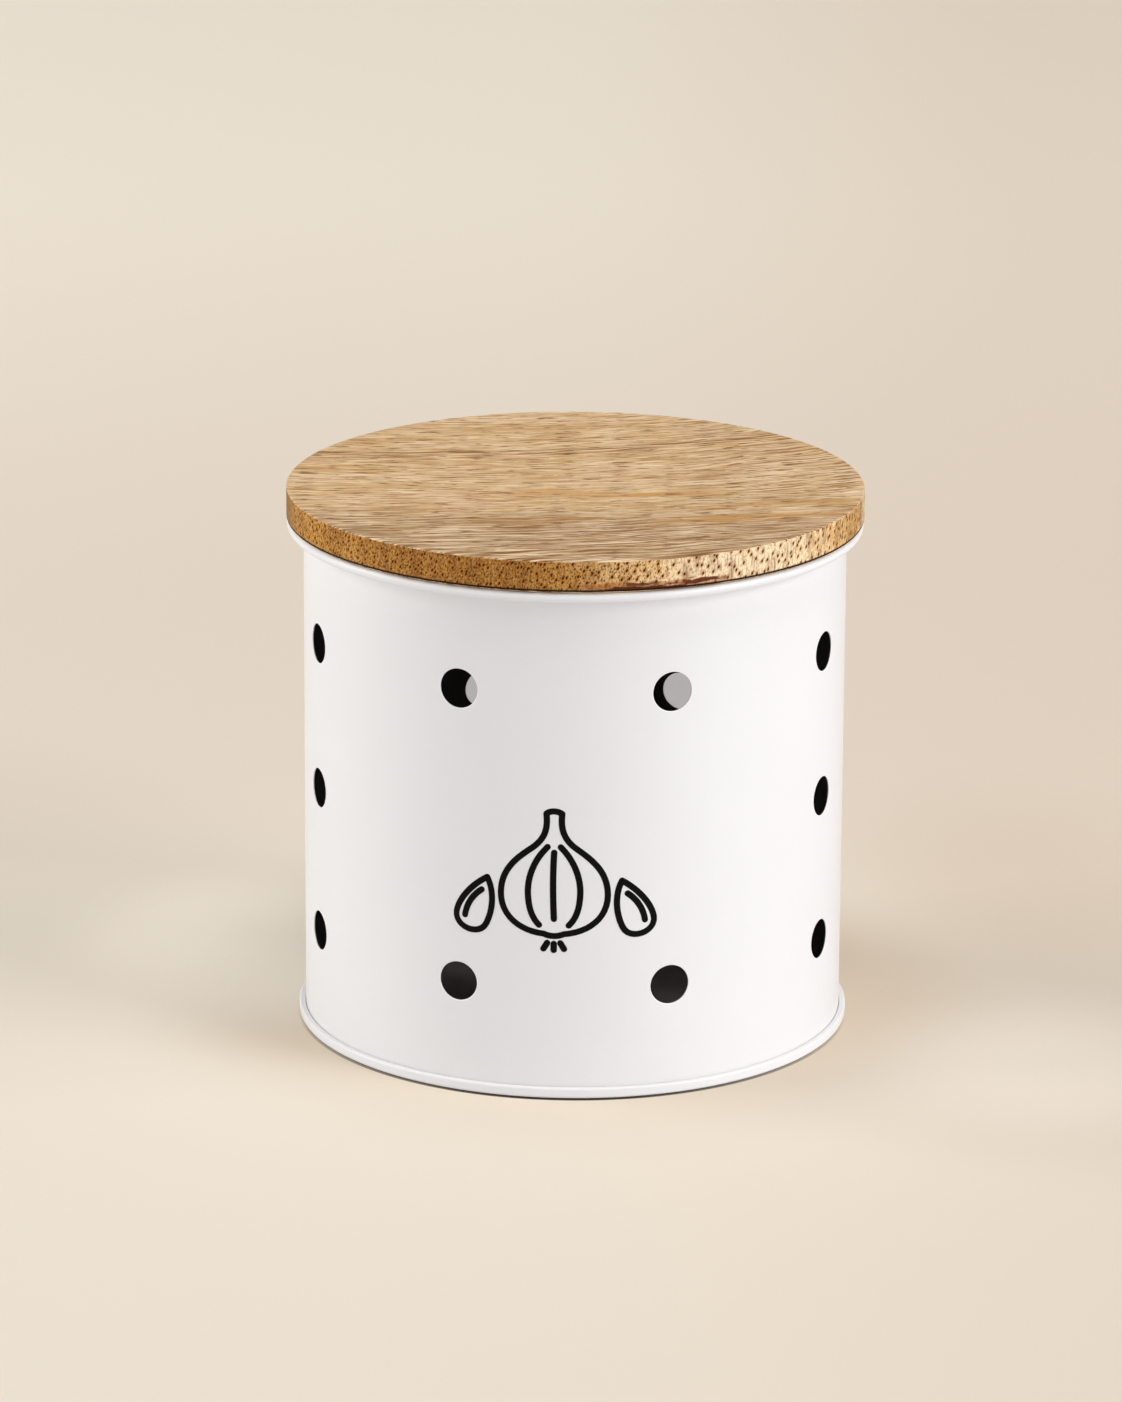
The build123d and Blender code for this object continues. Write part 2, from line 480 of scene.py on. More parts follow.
def board_edge():
    """The cut side: fine upright grain and dark pores, golden at the left, brown in the middle,
    a pale and smoother stretch at the right of the front, and a dark red streak along the lower
    edge there. The back mirrors the front, so that the pattern has no seam."""
    s = Shader("board_edge_grain")
    x, y, z = s.parts(s.place())
    angle = s.math("ARCTAN2", x, s.unsigned(y))
    arc = s.times(angle, BOARD_RADIUS)
    flat = s.join(arc, z)
    wobble = s.noise(s.stretch(flat, 6, 4, 1))
    degrees = s.times_plus(wobble, 16.0, s.times_plus(angle, math.degrees(1), -8.0))
    grit = s.noise(s.stretch(flat, 0.5, 0.7, 1), roughness=0.6)
    rays = s.noise(s.stretch(flat, 0.55, 3.2, 1))
    bands = s.noise(s.stretch(flat, 3.0, 14, 1), detail=3.0, roughness=0.6)
    tone = s.ramp(s.remap(degrees, -90.0, 90.0, smooth=False), EDGE_TONES)
    tone = s.layer(tone, bands, 0.52, 0.34, 0.50, (124, 74, 32))
    tone = s.layer(tone, bands, 0.52, 0.70, 0.35, (224, 170, 98))
    smooth = s.remap(degrees, -72, -78)
    busy = s.remap(degrees, -78, -66, 0.35, 1.0)
    rough = s.times(busy, s.remap(degrees, 5, 20, 1.2, 0.5))
    tone = s.layer(tone, grit, 0.50, 0.34, 0.75, (108, 62, 24), rough)
    glint = s.mix(s.remap(degrees, 5, 25), colour(228, 172, 100), colour(252, 222, 172))
    tone = s.mix(s.remap(grit, 0.52, 0.70, 0.0, 0.55), tone, glint)
    tone = s.layer(tone, rays, 0.50, 0.32, 0.50, (120, 72, 30))

    def pores(across, up, reach, offset):
        """Leaning dots, one to a cell of this size, and the stained wood round them."""
        leaning = s.join(s.times_plus(z, -0.3, s.plus(arc, offset)), z)
        found = s.node("TexVoronoi", {"voronoi_dimensions": "2D"}, Scale=1.0, Randomness=1.0,
                       Vector=s.stretch(leaning, across, up, 1))
        far = found.outputs["Distance"]
        return s.remap(far, reach, reach * 0.6), s.remap(far, reach * 2.1, reach)

    large, surround = (s.times(part, busy) for part in pores(1.9, 2.8, 0.18, 0.0))
    small = s.times(pores(0.9, 1.5, 0.22, 40.0)[0], s.remap(degrees, 12, 30, 0.85, 0.22))
    tone = s.over(tone, s.times(surround, s.remap(degrees, 5, 25, 0.7, 0.5)), (184, 116, 38))
    tone = s.over(tone, s.math("MAXIMUM", large, small), (74, 36, 6))
    tone = lower_streaks(s, tone, flat, z, degrees)
    tone = s.over(tone, s.times(smooth, s.remap(rays, 0.42, 0.6, 0.7, 0.3)), (146, 100, 46))
    # Painted highlight: the side is lighter just under the top edge.
    tone = s.layer(tone, z, BOARD_TOP - 0.5, BOARD_TOP, 0.35, (236, 204, 160))
    # Painted shadow: a near-black line along the lower edge, where the board sits over the rim.
    tone = s.layer(tone, z, BOARD_BOTTOM + 0.9, BOARD_BOTTOM + 0.6, 1.0, (26, 12, 3))
    depth = s.minus(s.times(grit, 0.5), large)
    return s.finish(Base_Color=tone, Roughness=s.remap(grit, 0.3, 0.7, 0.70, 0.56),
                    Specular_IOR_Level=WOOD_SHEEN, Normal=s.bump(depth, 0.08))


def plain(name, rgb, roughness, sheen=0.5):
    """One colour, faintly mottled."""
    s = Shader(name)
    peel = s.noise(s.stretch(s.place(), 1.5, 1.5, 1.5))
    tint = s.mix(peel, colour(*rgb), colour(*[min(255, part * 1.06) for part in rgb]))
    return s.finish(Base_Color=tint, Roughness=roughness, Specular_IOR_Level=sheen,
                    Normal=s.bump(peel, 0.01))


paint = white_paint()
# Paint lighter than the wall's white on the vents' rounded edges: a painted highlight round each
# vent.
vent_edge_highlight_paint = plain("vent_edge_painted_highlight", (254, 253, 252), 0.35)
lining = lining_paint("dark_lining", (74, 71, 70), (84, 81, 79))
base_lining = lining_paint("base_lining", (196, 190, 186), (206, 200, 196))
face_wood = board_face()
edge_wood = board_edge()
plug_wood = plain("plug_wood", (208, 172, 128), 0.6)
silicone = plain("silicone", (222, 222, 218), 0.5)
ink = plain("black_ink", (9, 8, 8), 0.75, 0.1)


# ---------------------------------------------------------------- can

def upright(point):
    """Whether the surface stands upright at an outline point."""
    return abs(point[2]) > 0.999


def wall_outline():
    """Hook, wall and rolled rim, with more points up the wall where the vents' squares are."""
    half = SHEET / 2
    middle = WALL_OUTSIDE - half
    hook = WALL_OUTSIDE + 2 * SEAM_GAP + SHEET + half
    hook_bottom = SHEET + SEAM_GAP + half
    rim_top, rim_bottom = CAN_HEIGHT - half, CAN_HEIGHT - RIM_HEIGHT + half
    rim_outside = WALL_OUTSIDE + RIM_REACH - half
    roll = FULL_ROUND * (rim_top - rim_bottom)
    points = [(hook, WALL_HOOK_END), (hook, hook_bottom), (middle, hook_bottom),
              (middle, rim_top), (rim_outside, rim_top), (rim_outside, rim_bottom),
              (WALL_OUTSIDE + RIM_END_GAP + half, rim_bottom)]
    bends = [0, SEAM_BEND, SEAM_BEND, RIM_NECK_BEND + half, roll, roll, 0]
    rough = sheet_outline(points, bends, SHEET, steps=8)
    heights = [height - VENT_CELL + 2 * VENT_CELL * k / CELL_PARTS
               for height in VENT_HEIGHTS for k in range(CELL_PARTS + 1)]
    outline = []
    for here, following in zip(rough, rough[1:] + rough[:1]):
        outline.append(here)
        rise = following[1] - here[1]
        if abs(here[0] - following[0]) < TINY and abs(rise) > CAN_HEIGHT / 2:
            steps = heights if rise > 0 else heights[::-1]
            outline += [(here[0], height, here[2], here[3]) for height in steps]
    return outline


def vent_angle(column):
    return -math.pi / 2 + VENT_PITCH * (column + 0.5)


def has_vent(column, row):
    return column is not None and row is not None and (column, row) not in NO_VENT


def wall_angles():
    """Angles round the wall, and for the stretch after each the column of vents it crosses."""
    angles, column_of = [], []
    for column in range(VENT_COLUMNS):
        centre = vent_angle(column)
        for k in range(CELL_PARTS):
            angles.append(centre - CELL_ANGLE + 2 * CELL_ANGLE * k / CELL_PARTS)
            column_of.append(column)
        for k in range(GAP_PARTS):
            angles.append(centre + CELL_ANGLE + (VENT_PITCH - 2 * CELL_ANGLE) * k / GAP_PARTS)
            column_of.append(None)
    return angles, column_of


def vent_row(a, b):
    """The row of vents whose squares hold the span between two outline points."""
    on_wall = upright(a) and upright(b) and abs(a[0] - b[0]) < TINY
    for row, height in enumerate(VENT_HEIGHTS):
        near = abs((a[1] + b[1]) / 2 - height) < VENT_CELL
        if on_wall and a[0] < WALL_OUTSIDE + TINY and near:
            return row
    return None


def is_lined(a, b):
    """Whether the span between two outline points faces into the can, above the seam."""
    faces_in = max(a[2], b[2]) < -0.5 and a[0] < WALL_OUTSIDE
    return faces_in and (a[1] + b[1]) / 2 > LINING_BOTTOM


def square_border():
    """Round a vent's square: (bearing from its middle, parts across, parts up)."""
    parts = range(CELL_PARTS)
    places = [(k, 0) for k in parts] + [(CELL_PARTS, k) for k in parts]
    places += [(CELL_PARTS - k, CELL_PARTS) for k in parts] + [(0, CELL_PARTS - k) for k in parts]
    return [(math.atan2(b - CELL_PARTS / 2, a - CELL_PARTS / 2), a, b) for a, b in places]


SQUARE = square_border()


def ring_on_face(centre, height, radius, share, sign):
    """Points and normals on a face of the wall, this share of the way from the vent's square to
    its edge."""
    ring = []
    for bearing, a, b in SQUARE:
        round_angle = math.asin(VENT_REACH * math.cos(bearing) / radius)
        round_up = VENT_REACH * math.sin(bearing)
        flat_angle = CELL_ANGLE * (2 * a / CELL_PARTS - 1)
        flat_up = VENT_CELL * (2 * b / CELL_PARTS - 1)
        angle = centre + flat_angle + (round_angle - flat_angle) * share
        up = flat_up + (round_up - flat_up) * share
        normal = Vector(around(1, angle, 0))
        ring.append((normal * radius + Vector((0, 0, height + up)), normal * sign))
    return ring


def ring_in_tunnel(centre, height, bend_radius, turn):
    """Points and normals on the vent's rounded edge, which turns from the outer face of the wall
    to the inner one about a bend at this radius."""
    outward = Vector(around(1, centre, 0))
    across = Vector((-outward.y, outward.x, 0))
    reach = VENT_REACH - VENT_EDGE * math.sin(turn)
    radius = bend_radius + VENT_EDGE * math.cos(turn)
    ring = []
    for bearing, _, _ in SQUARE:
        sideways = reach * math.cos(bearing)
        point = (outward * math.sqrt(radius ** 2 - sideways ** 2) + across * sideways
                 + Vector((0, 0, height + reach * math.sin(bearing))))
        radial = Vector((point.x, point.y, 0)).normalized()
        away = across * math.cos(bearing) + Vector((0, 0, math.sin(bearing)))
        ring.append((point, radial * math.cos(turn) - away * math.sin(turn)))
    return ring


def vent_rings(column, height):
    """A vent's rings, from the outer face of the wall through the sheet to the inner face."""
    vent = (vent_angle(column), height)
    shares = [n / SIDE_RINGS for n in range(1, SIDE_RINGS)]
    turns = [math.pi / 2 * n / EDGE_STEPS for n in range(EDGE_STEPS + 1)]
    rings = [ring_on_face(*vent, WALL_OUTSIDE, share, 1) for share in shares]
    rings += [ring_in_tunnel(*vent, WALL_OUTSIDE - VENT_EDGE, turn) for turn in turns]
    rings += [ring_in_tunnel(*vent, WALL_INSIDE + VENT_EDGE, math.pi / 2 + turn) for turn in turns]
    return rings + [ring_on_face(*vent, WALL_INSIDE, share, -1) for share in reversed(shares)]


def wall_mesh():
    """The wall as one closed sheet, with a rounded tunnel for each vent."""
    # edge is the vents' rounded edges, in lighter paint as a painted highlight.
    painted, lined, edge = 0, 1, 2
    outline = wall_outline()
    angles, column_of = wall_angles()
    vertices, normals, faces, picked = [], [], [], []
    for radius, height, normal_r, normal_z in outline:
        vertices += [around(radius, angle, height) for angle in angles]
        normals += [around(normal_r, angle, normal_z) for angle in angles]

    def at(i, k):
        return (i % len(outline)) * len(angles) + k % len(angles)

    for i, a in enumerate(outline):
        b = outline[(i + 1) % len(outline)]
        row = vent_row(a, b)
        for k, column in enumerate(column_of):
            if not has_vent(column, row):
                faces.append((at(i, k), at(i, k + 1), at(i + 1, k + 1), at(i + 1, k)))
                picked.append(lined if is_lined(a, b) else painted)

    def square_at(column, height, radius, upward):
        """The border of a vent's square on one face of the wall. On the inner face the outline
        runs down."""
        start = next(i for i, p in enumerate(outline) if upright(p)
                     and abs(p[0] - radius) < TINY and abs(p[1] - height + VENT_CELL) < TINY)
        left = column * (CELL_PARTS + GAP_PARTS)
        return [at(start + b * upward, left + a) for _, a, b in SQUARE]

    def add_ring(ring):
        vertices.extend(tuple(point) for point, _ in ring)
        normals.extend(tuple(normal) for _, normal in ring)
        return range(len(vertices) - len(ring), len(vertices))

    for column in range(VENT_COLUMNS):
        for row, height in enumerate(VENT_HEIGHTS):
            if not has_vent(column, row):
                continue
            rings = [square_at(column, height, WALL_OUTSIDE, 1)]
            rings += [add_ring(ring) for ring in vent_rings(column, height)]
            rings.append(square_at(column, height, WALL_INSIDE, -1))
            for n, (a, b) in enumerate(zip(rings, rings[1:])):
                highlight_or_lined = edge if n <= SIDE_RINGS + EDGE_STEPS else lined
                material = painted if n < SIDE_RINGS else highlight_or_lined
                for k in range(len(SQUARE)):
                    following = (k + 1) % len(SQUARE)
                    faces.append((a[k], a[following], b[following], b[k]))
                    picked.append(material)
    return add_mesh("wall_sheet", vertices, normals, faces, picked, [paint, lining, vent_edge_highlight_paint])


wall = wall_mesh()
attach(wall, "can")


def lap_mesh():
    """The inner edge of the sheet, lapped and welded at the back."""
    inside, outside = WALL_INSIDE - LAP_SHEET, WALL_INSIDE + LAP_SUNK
    outline = outline_of([(inside, LAP_TOP), (inside, LAP_BOTTOM), (outside, LAP_BOTTOM),
                          (outside, LAP_TOP)], LAP_EDGE, steps=3, closed=True)
    arc, parts = LAP_WIDTH / WALL_INSIDE, 12
    vertices, faces = [], []
    for k in range(parts + 1):
        angle = math.pi / 2 + arc * (k / parts - 0.5)
        vertices += [around(radius, angle, height) for radius, height, _, _ in outline]
    count = len(outline)
    for k in range(parts):
        for i in range(count):
            j = (i + 1) % count
            faces.append((k * count + i, (k + 1) * count + i, (k + 1) * count + j, k * count + j))
    faces.append(tuple(range(count)))
    faces.append(tuple(parts * count + i for i in reversed(range(count))))
    return add_mesh("side_lap", vertices, None, faces, [0] * len(faces), [lining])


lap = lap_mesh()
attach(lap, "can")
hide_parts("body_wall")
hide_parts("body_wall")


def base_mesh():
    """The pressed base, from the middle of its panel out to its hook in the seam."""
    half = SHEET / 2
    panel = BASE_RECESS + half
    step, run, drop = PANEL_STEP
    inner = WALL_INSIDE - SEAM_GAP - half
    outer = FOOT_RADIUS - half
    hook = WALL_OUTSIDE + SEAM_GAP + half
    top = SEAM_HEIGHT - half
    points = [(0, panel - drop), (step - run, panel - drop), (step, panel), (inner, panel),
              (inner, half), (outer, half), (outer, top), (hook, top), (hook, BASE_HOOK_END)]
    right, left = sheet_sides(rounded_path(points, BASE_BENDS), SHEET)

    def material_of(radius, height, normal_r, normal_z):
        faces_up = normal_z > 0.3 and radius < inner - half and height > LINING_BOTTOM
        return 1 if faces_up else 0

    return turned_mesh("base_pressing", right + left, TURN_PARTS, [paint, base_lining],
                       material_of=material_of)


base = base_mesh()
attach(base, "can")
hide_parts("base_pan")


# ---------------------------------------------------------------- mark
# A plain line drawing of garlic, printed on the front. Each line is a chain of cubic curves:
# an end, two handles, the next end, and so on, as (across, up) from the drawing's middle.

MARK_AZIMUTH = -2.0
MARK_HEIGHT = 55.0
MARK_LINE = 1.6
MARK_THICKNESS = 0.06
MARK_LIFT = 0.002  # each line lies this much above the one before
MARK_SUNK = 0.03  # how far a line's sides go into the paint
MARK_SLOPE = 0.07  # how much narrower a line is on top
BULB_SIDE = ((1.9, 17.0), (1.5, 13.2), (2.2, 10.6), (5.4, 8.2), (9.6, 5.2), (13.0, 2.0),
             (13.0, -3.6), (13.0, -9.4), (8.4, -12.9), (2.4, -13.4))
BULB_FOLD = ((1.6, 8.6), (4.9, 5.2), (6.6, 0.6), (6.3, -3.8), (6.1, -7.4), (5.2, -9.6),
             (3.6, -11.2))
BULB_MIDDLE = ((0.0, 7.2), (-0.3, 2.5), (-0.3, -3.5), (0.0, -9.6))
STEM_CUT = ((-1.9, 17.0), (-0.8, 17.9), (0.9, 17.7), (1.9, 17.0))
ROOT_PLATE = ((-2.4, -13.4), (-1.0, -14.1), (1.0, -14.1), (2.4, -13.4))
ROOT_SIDE = ((1.6, -15.7), (1.9, -16.2), (2.1, -16.6), (2.5, -17.2))
ROOT_MIDDLE = ((0.0, -15.9), (0.0, -16.4), (0.0, -17.0), (0.0, -17.5))
CLOVE = ((0.4, 8.2), (3.4, 5.4), (4.6, 0.8), (4.2, -3.0), (3.8, -7.0), (-3.0, -7.6),
         (-3.8, -3.6), (-4.4, -0.4), (-2.6, 4.6), (0.4, 8.2))
CLOVE_CREASE = ((0.2, 4.6), (-1.6, 2.0), (-2.0, -0.8), (-1.5, -3.4))
CLOVE_PLACE = (-19.6, -7.6, -20.0)  # across, up and tilt of the left one


def mirrored(curve):
    return [(-x, y) for x, y in curve]


def tilted(curve, across, up, tilt):
    c, s = math.cos(math.radians(tilt)), math.sin(math.radians(tilt))
    return [(across + x * c - y * s, up + x * s + y * c) for x, y in curve]


def sampled(curve, steps=12):
    """Points and directions along a chain of cubic curves."""
    found = []
    for i in range(0, len(curve) - 3, 3):
        a, b, c, d = (Vector(p) for p in curve[i:i + 4])
        for step in range(steps + (i + 4 >= len(curve))):
            t = step / steps
            u = 1 - t
            place = a * u ** 3 + b * 3 * u * u * t + c * 3 * u * t * t + d * t ** 3
            along = (b - a) * u * u + (c - b) * 2 * u * t + (d - c) * t * t
            found.append((place, along.normalized()))
    return found


def mark_mesh():
    """Each line is a low ridge with round ends that follows the wall."""
    cap_steps = 8
    clove = [tilted(curve, *CLOVE_PLACE) for curve in (CLOVE, CLOVE_CREASE)]
    drawing = [BULB_SIDE, mirrored(BULB_SIDE), BULB_FOLD, mirrored(BULB_FOLD), BULB_MIDDLE,
               STEM_CUT, ROOT_PLATE, ROOT_SIDE, mirrored(ROOT_SIDE), ROOT_MIDDLE]
    drawing += clove + [mirrored(curve) for curve in clove]
    vertices, normals, faces = [], [], []

    def add(point, lift, normal=None):
        angle = math.radians(MARK_AZIMUTH) + point.x / WALL_OUTSIDE
        out = Vector((math.sin(angle), -math.cos(angle), 0))
        across = Vector((math.cos(angle), math.sin(angle), 0))
        place = out * (WALL_OUTSIDE + lift) + Vector((0, 0, MARK_HEIGHT + point.y))
        vertices.append(tuple(place))
        normals.append(tuple(across * normal.x + Vector((0, 0, normal.y)) if normal else out))
        return len(vertices) - 1

    for number, curve in enumerate(drawing):
        samples = sampled(curve)
        lift = MARK_THICKNESS + MARK_LIFT * number
        middles = [add(place, lift) for place, _ in samples]
        sides = [(place, Vector((along.y, -along.x))) for place, along in samples]
        border = [(place, side, k) for k, (place, side) in enumerate(sides)]
        for end, sign in ((len(samples) - 1, 1), (0, -1)):
            place, side = sides[end]
            ahead = Vector((-side.y, side.x))
            for step in range(1, cap_steps):
                turn = math.pi * step / cap_steps
                away = side * math.cos(turn) * sign + ahead * math.sin(turn) * sign
                border.append((place, away, end))
            if end:
                way_back = reversed(list(enumerate(sides)))
                border += [(place, -side, k) for k, (place, side) in way_back]
        half = MARK_LINE / 2
        foot = [add(place + away * half, -MARK_SUNK, away) for place, away, _ in border]
        top = [add(place + away * (half - MARK_SLOPE), lift) for place, away, _ in border]
        for k in range(len(border)):
            following = (k + 1) % len(border)
            faces.append((foot[k], foot[following], top[following], top[k]))
            a, b = middles[border[k][2]], middles[border[following][2]]
            faces.append((top[k], top[following], b, a) if a != b else (top[k], top[following], a))
    return add_mesh("front_drawing", vertices, normals, faces, [0] * len(faces), [ink])


mark = mark_mesh()
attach(mark, "can")


# ---------------------------------------------------------------- lid

def board_mesh():
    outline = outline_of([(0, BOARD_BOTTOM), (BOARD_RADIUS, BOARD_BOTTOM),
                          (BOARD_RADIUS, BOARD_TOP), (0, BOARD_TOP)], BOARD_BENDS)
    return turned_mesh("board", outline, BOARD_PARTS, [face_wood, edge_wood],
                       material_of=lambda r, h, nr, nz: 1 if abs(nz) < 0.6 else 0)


board = board_mesh()
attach(board, "lid")
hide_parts("lid_board")


def plug_mesh():
    radius, low, high = GROOVE
    points = [(0, PLUG_BOTTOM), (PLUG_RADIUS, PLUG_BOTTOM), (PLUG_RADIUS, low), (radius, low),
              (radius, high), (PLUG_RADIUS, high), (PLUG_RADIUS, BOARD_BOTTOM),
              (0, BOARD_BOTTOM)]
    return turned_mesh("plug", outline_of(points, PLUG_BENDS, steps=4), TURN_PARTS, [plug_wood])


plug = plug_mesh()
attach(plug, "lid")
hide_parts("lid_plug")


def seal_mesh():
    """The ring on the lower side of its groove, with fins that lean up."""
    bottom = GROOVE[1]
    pitch = (SEAL_TOP - bottom) / SEAL_FINS
    points = [(SEAL_INSIDE, bottom), (SEAL_ROOT, bottom)]
    for fin in range(SEAL_FINS):
        height = bottom + pitch * (fin + 0.5)
        points += [(SEAL_ROOT, height - FIN_ROOT / 2), (SEAL_TIP, height - FIN_TIP / 2 + FIN_RISE),
                   (SEAL_TIP, height + FIN_TIP / 2 + FIN_RISE), (SEAL_ROOT, height + FIN_ROOT / 2)]
    points += [(SEAL_ROOT, SEAL_TOP), (SEAL_INSIDE, SEAL_TOP)]
    bottom_bends, fin_bends, top_bends = SEAL_BENDS
    outline = outline_of(points, bottom_bends + fin_bends * SEAL_FINS + top_bends, 4, True)
    return turned_mesh("seal_ring", outline, TURN_PARTS, [silicone], closed=True)


seal = seal_mesh()
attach(seal, "lid")
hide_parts("lid_seal")


# ---------------------------------------------------------------- stage

FLOOR_REACH, FLOOR_BEND = 2700, 700  # the flat floor's radius, and that of the curve round it
FLOOR_DROP = 0.02  # below the can's foot
FLOOR_PARTS, FLOOR_BEND_STEPS = 96, 12
RIGHT_STRIP, LEFT_STRIP = 62, -92  # azimuths of the softboxes
BACK_SHADE_SLANT = 0.033  # how far the shade behind the can runs to the left as it goes back
FLOOR_PAINTED_SHADE_AND_LIGHT = (  # painted shadow and painted light beside the can: centre, reach along X and Y, share, colour
    (115.0, 100.0, 70.0, 115.0, 0.28, (200, 178, 152)),
    (-82.0, 50.0, 62.0, 66.0, 0.9, (255, 244, 226)),
    (122.0, -40.0, 72.0, 62.0, 0.65, (252, 240, 224)),
)


def floor_tint(s):
    """Pale beige, a little lighter far away, warmer to the right, and darker towards the
    softboxes, so that it shows evenly. Near the can it has painted soft shades, a painted
    shadow and painted pools of light, the painted shadow behind the can that its vents show, and a
    painted contact shadow where the foot meets the floor."""
    place = s.place()
    x, y, _ = s.parts(place)
    radius = s.length(s.join(x, y))
    cloud = s.noise(s.stretch(place, 400, 400, 400))
    tint = s.mix(cloud, colour(234, 223, 206), colour(238, 227, 210))
    tint = s.layer(tint, y, 60, 200, 1.0, (230, 216, 199))
    tint = s.layer(tint, radius, 350, 1000, 1.0, (244, 233, 215))
    for azimuth in (RIGHT_STRIP, LEFT_STRIP):
        across, forward = math.cos(math.radians(azimuth)), math.sin(math.radians(azimuth))
        towards = s.times_plus(x, forward, s.times(y, -across))
        beside = s.unsigned(s.times_plus(x, across, s.times(y, forward)))
        near = s.times(s.remap(towards, 400, 2400, smooth=False), s.remap(beside, 2600, 700))
        tint = s.over(tint, near, (158, 150, 138))
    tint = s.layer(tint, x, -60, 160, 0.5, (229, 210, 190))

    shade = s.times(s.remap(radius, 120.0, FOOT_RADIUS), s.remap(y, -70.0, -15.0, 0.2, 0.5))
    shade = s.times(shade, s.remap(s.times_plus(x, -0.5, y), 25.0, 85.0, 1.0, 0.0))
    shade = s.times(shade, s.math("MAXIMUM", s.remap(x, -30.0, 30.0), s.remap(y, 10.0, -40.0)))
    tint = s.over(tint, shade, (200, 176, 146))
    # A painted shadow to the right and behind the can, and painted pools of light to its left and
    # front right, where the lamps' shadows fall.
    for centre_x, centre_y, reach_x, reach_y, share, tone in FLOOR_PAINTED_SHADE_AND_LIGHT:
        from_centre = s.join(s.minus(x, centre_x), s.minus(y, centre_y))
        off = s.length(s.stretch(from_centre, reach_x, reach_y, 1))
        tint = s.layer(tint, off, 1.0, 0.15, share, tone)

    aside = s.unsigned(s.plus(x, s.times(y, BACK_SHADE_SLANT)))
    behind = s.times(s.remap(aside, 77.0, 34.0),
                     s.times(s.remap(y, 0.0, 60.0), s.remap(y, 450.0, 285.0)))
    grey = s.mix(behind, colour(214, 198, 176), colour(178, 174, 174))
    tint = s.mix(s.times(behind, 0.95), tint, grey)
    # Painted contact shadow: a dark line on the floor round the foot, strongest at the front.
    width = s.remap(y, 0.0, -FOOT_RADIUS, 0.3, 1.3, smooth=False)
    off = s.math("DIVIDE", s.minus(radius, FOOT_RADIUS), width)
    painted_contact_shadow = s.times(s.remap(off, 1.0, 0.5), s.remap(y, -5.0, -FOOT_RADIUS, smooth=False))
    return s.over(tint, painted_contact_shadow, (56, 48, 36))


def backdrop():
    """The floor's colours where they are seen, and a neutral tone for what lights the object."""
    s = Shader("plain_backdrop")
    tint = floor_tint(s)
    rays = s.node("LightPath").outputs
    seen = s.math("ADD", s.plus(rays["Is Camera Ray"], rays["Is Glossy Ray"]),
                  rays["Is Transmission Ray"], clamp=True)
    return s.finish(Base_Color=s.mix(seen, colour(228, 227, 226), tint), Roughness=0.9,
                    Specular_IOR_Level=0.1)


def stage_mesh():
    """A round floor that rises into a wall, so that every view has the same plain ground."""
    outline = [(radius, -FLOOR_DROP, 0, 1) for radius in (0, 400, 1200, FLOOR_REACH)]
    for step in range(1, FLOOR_BEND_STEPS + 1):
        angle = math.pi / 2 * step / FLOOR_BEND_STEPS
        outline.append((FLOOR_REACH + FLOOR_BEND * math.sin(angle),
                        FLOOR_BEND * (1 - math.cos(angle)), -math.sin(angle), math.cos(angle)))
    return turned_mesh("ground", outline[::-1], FLOOR_PARTS, [backdrop()])


ground = stage_mesh()


# ---------------------------------------------------------------- light

COOL = (0.98, 0.99, 1.02)
FAR_LAMP_SPREAD = 22  # degrees across
STRIP_DISTANCE, STRIP_HEIGHT = 3.0, 2.6  # metres
STRIP_ELEVATION = 18
STRIP_AIM = 0.07  # metres above the floor
WORLD_LIGHT = 0.32


def facing(azimuth, elevation):
    """The direction to a lamp."""
    a, e = math.radians(azimuth), math.radians(elevation)
    return Vector((math.sin(a) * math.cos(e), -math.cos(a) * math.cos(e), math.sin(e)))


def add_lamp(name, lamp, towards, place=(0, 0, 0)):
    thing = bpy.data.objects.new(name, lamp)
    thing.location = place
    thing.rotation_mode = "QUATERNION"
    thing.rotation_quaternion = towards.to_track_quat("Z", "Y")
    thing.visible_camera = False
    bpy.context.scene.collection.objects.link(thing)


def far_lamp(name, azimuth, elevation, strength, tint=(1, 1, 1)):
    """A soft lamp far away, which alone would light a surface that faces it at this strength."""
    lamp = bpy.data.lights.new(name, "SUN")
    lamp.color = tint
    lamp.energy, lamp.angle = strength * math.pi, math.radians(FAR_LAMP_SPREAD)
    add_lamp(name, lamp, facing(azimuth, elevation))


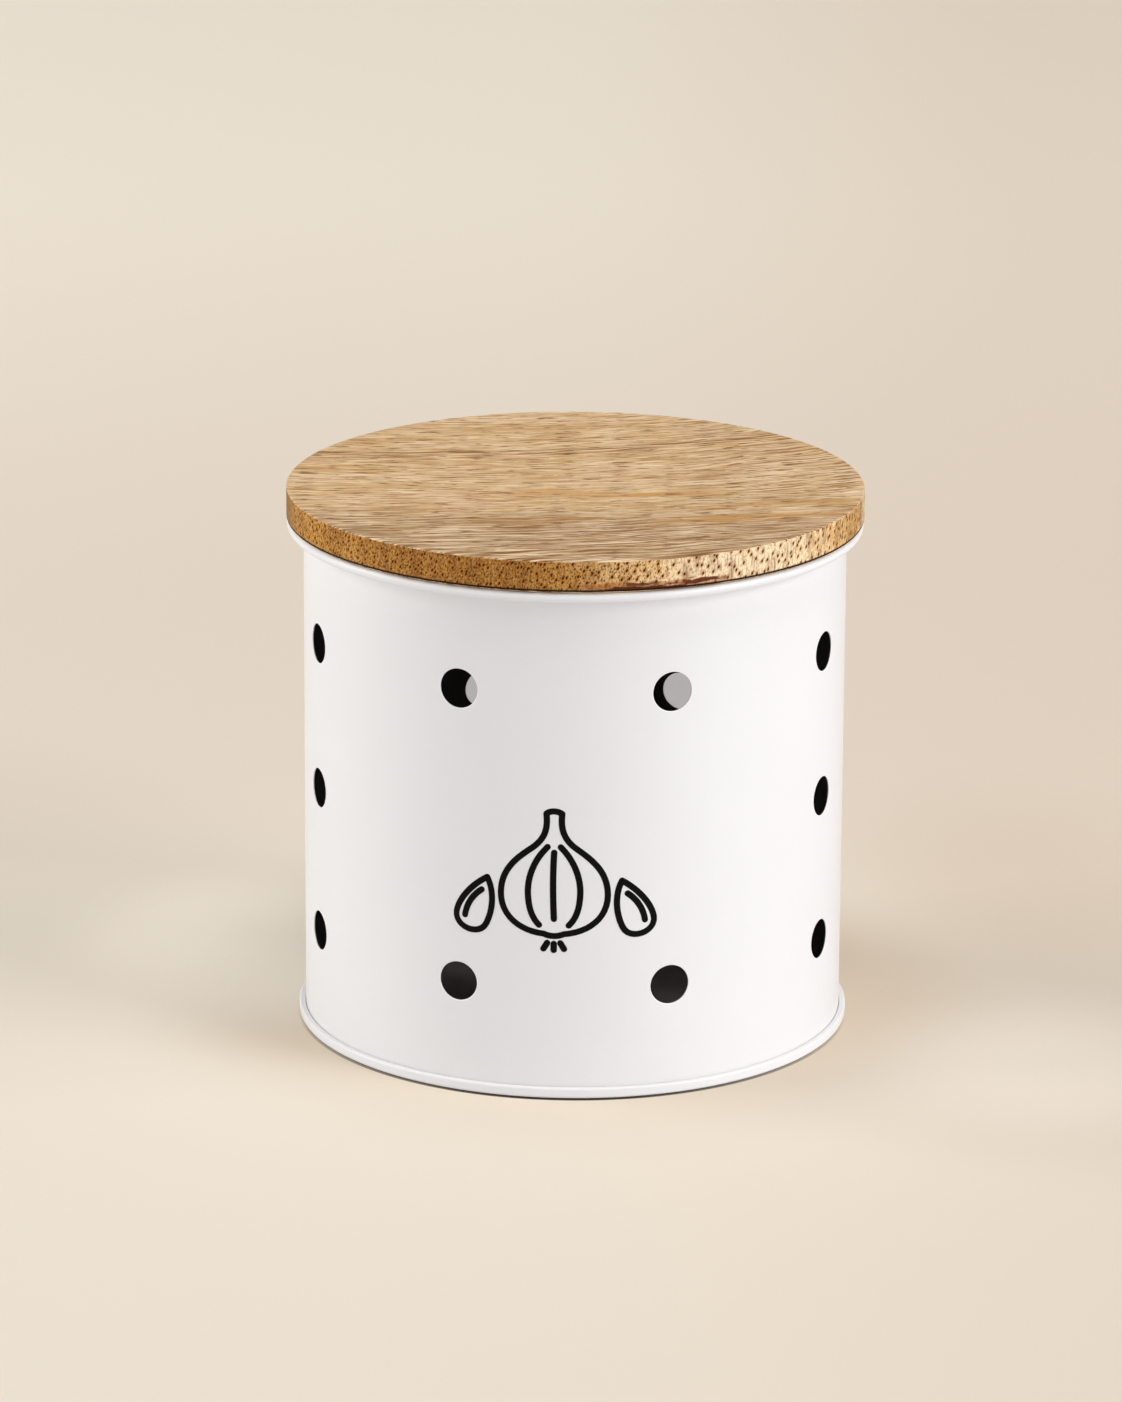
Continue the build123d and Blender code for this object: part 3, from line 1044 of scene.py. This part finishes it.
def strip_lamp(name, azimuth, width, brightness, tint=(1, 1, 1)):
    """An upright softbox beside the can, its width in metres."""
    lamp = bpy.data.lights.new(name, "AREA")
    lamp.color = tint
    lamp.shape, lamp.size, lamp.size_y = "RECTANGLE", width, STRIP_HEIGHT
    lamp.energy = math.pi * width * STRIP_HEIGHT * brightness
    towards = facing(azimuth, STRIP_ELEVATION)
    add_lamp(name, lamp, towards, Vector((0, 0, STRIP_AIM)) + towards * STRIP_DISTANCE)


far_lamp("top_lamp", 35, 73, 0.25)
far_lamp("right_lamp", 86, 22, 0.14, COOL)
strip_lamp("right_strip", RIGHT_STRIP, 1.2, 5.15, COOL)
strip_lamp("left_strip", LEFT_STRIP, 1.95, 4.0)

world = bpy.data.worlds.new("studio")
world.use_nodes = True
world.node_tree.nodes["Background"].inputs["Color"].default_value = (1, 1, 1, 1)
world.node_tree.nodes["Background"].inputs["Strength"].default_value = WORLD_LIGHT
bpy.context.scene.world = world


# ---------------------------------------------------------------- camera
# The fit to the photograph's outlines

CAMERA_DISTANCE = 1700.0
CAMERA_RISE = 17.313
CAMERA_AZIMUTH = 1.9
CAMERA_ROLL = 0.326
PIVOT_HEIGHT = 66.0
TARGET = (-3.269, 0.0, 79.999)
FOCAL_PIXELS = 6820.3
IMAGE_HEIGHT = 1402
SENSOR = 36.0


def add_camera():
    turn = Matrix.Rotation(math.radians(CAMERA_AZIMUTH), 3, "Z")
    rise, roll = math.radians(CAMERA_RISE), math.radians(CAMERA_ROLL)
    place = turn @ Vector((0, -CAMERA_DISTANCE * math.cos(rise),
                           PIVOT_HEIGHT + CAMERA_DISTANCE * math.sin(rise)))
    forward = (turn @ Vector(TARGET) - place).normalized()
    right = forward.cross(Vector((0, 0, 1))).normalized()
    up = right.cross(forward)
    rolled_right = right * math.cos(roll) + up * math.sin(roll)
    rolled_up = up * math.cos(roll) - right * math.sin(roll)
    data = bpy.data.cameras.new("camera")
    data.sensor_width = SENSOR
    data.lens = FOCAL_PIXELS * SENSOR / IMAGE_HEIGHT
    camera = bpy.data.objects.new("camera", data)
    camera.matrix_world = Matrix.Translation(place * MM) @ Matrix(
        (rolled_right, rolled_up, -forward)).transposed().to_4x4()
    bpy.context.scene.collection.objects.link(camera)
    bpy.context.scene.camera = camera


add_camera()

scene = bpy.context.scene
scene.view_settings.view_transform = "Standard"
